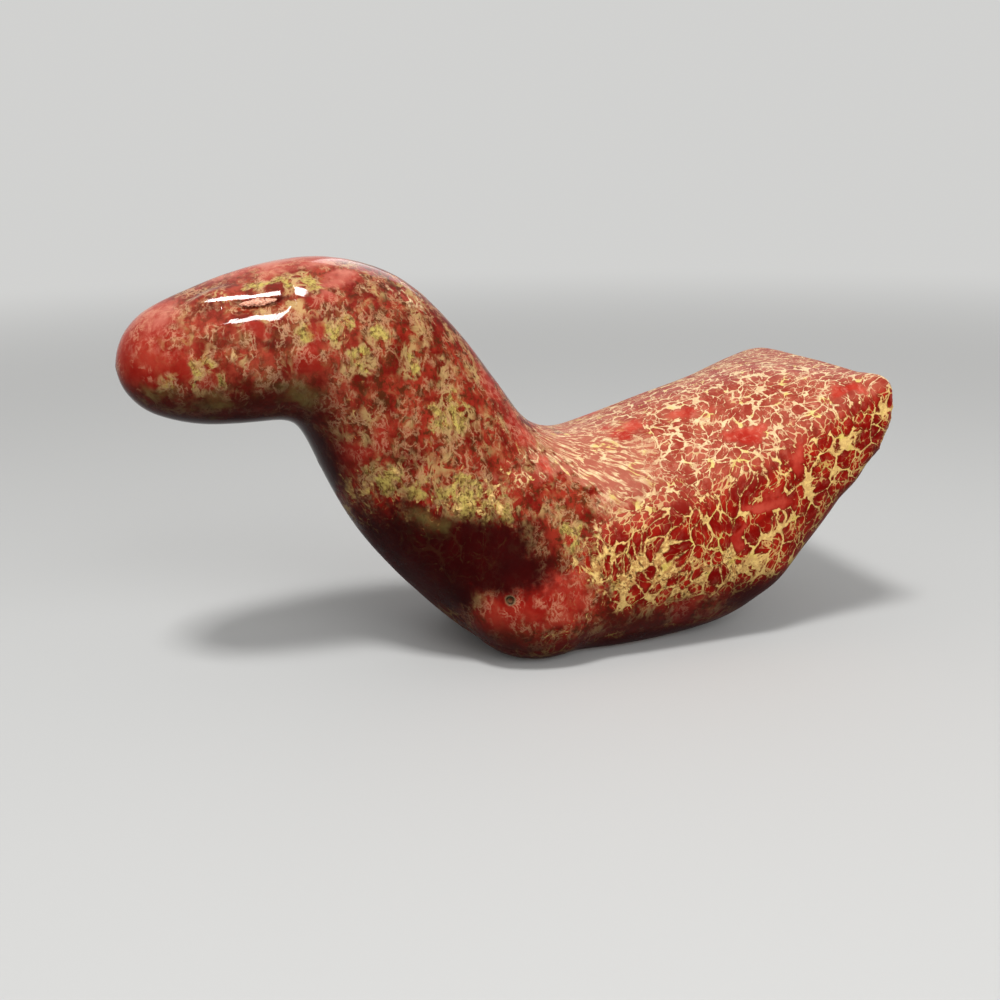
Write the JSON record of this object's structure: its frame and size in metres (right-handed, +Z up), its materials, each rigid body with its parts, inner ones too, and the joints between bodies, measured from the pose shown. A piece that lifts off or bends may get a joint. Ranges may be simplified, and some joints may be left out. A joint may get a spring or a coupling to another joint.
{
  "type": "seal figurine",
  "caption": "Glazed ceramic seal ornament with raised head, thick neck, barrel trunk and wedge tail, resting on a flat foot.",
  "frame": {"origin": "on the flat foot under the trunk, where it meets the floor", "axes": "+X towards the tail, +Y to the seal's right, +Z up"},
  "size_m": [0.2417, 0.0872, 0.1299],
  "materials": {
    "red_glaze": "glossy mottled red, yellow and olive glaze",
    "bare_clay": "matt salmon clay where the glaze drew back"
  },
  "bodies": {
    "root": {"head": "red_glaze", "neck": "red_glaze", "trunk": "red_glaze", "tail_fan": "red_glaze", "front_flipper_left": "red_glaze", "front_flipper_right": "red_glaze", "eye_left": "bare_clay", "eye_right": "bare_clay"}
  },
  "joints": []
}
